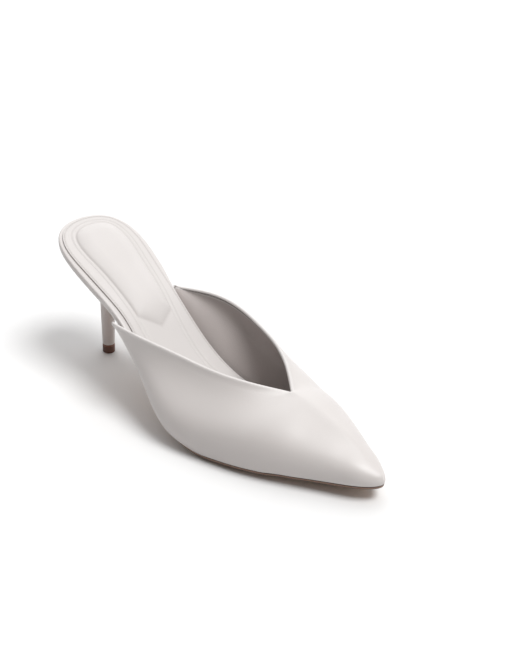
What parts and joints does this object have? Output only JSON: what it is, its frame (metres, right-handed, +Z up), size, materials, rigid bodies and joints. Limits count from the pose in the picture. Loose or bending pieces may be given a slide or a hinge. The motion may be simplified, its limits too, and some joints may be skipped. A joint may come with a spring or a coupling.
{
  "type": "high heel mule",
  "caption": "Pointed leather mule with an open V collar, a padded sock lining, a thin sole and a slim covered high heel; right shoe.",
  "frame": {"origin": "centre of the bounding box in plan, on the floor the shoe stands on", "axes": "+X from the back of the seat to the toe, +Y to the medial (inner) side of the foot, +Z up"},
  "size_m": [0.2452, 0.084, 0.0844],
  "materials": {
    "upper_leather": "smooth ivory leather, soft satin sheen",
    "rim_leather": "ivory leather wrapped round the board's edge",
    "sock_leather": "soft ivory lining leather over foam",
    "sole_leather": "tan sole leather with a dark edge",
    "heel_cover": "ivory leather over a moulded heel",
    "top_piece": "dark brown, slightly glossy"
  },
  "bodies": {
    "root": {"upper": "upper_leather", "insole_board": "rim_leather", "sock_lining": "sock_leather", "outsole": "sole_leather", "heel": "heel_cover", "heel_tip": "top_piece"}
  },
  "joints": []
}
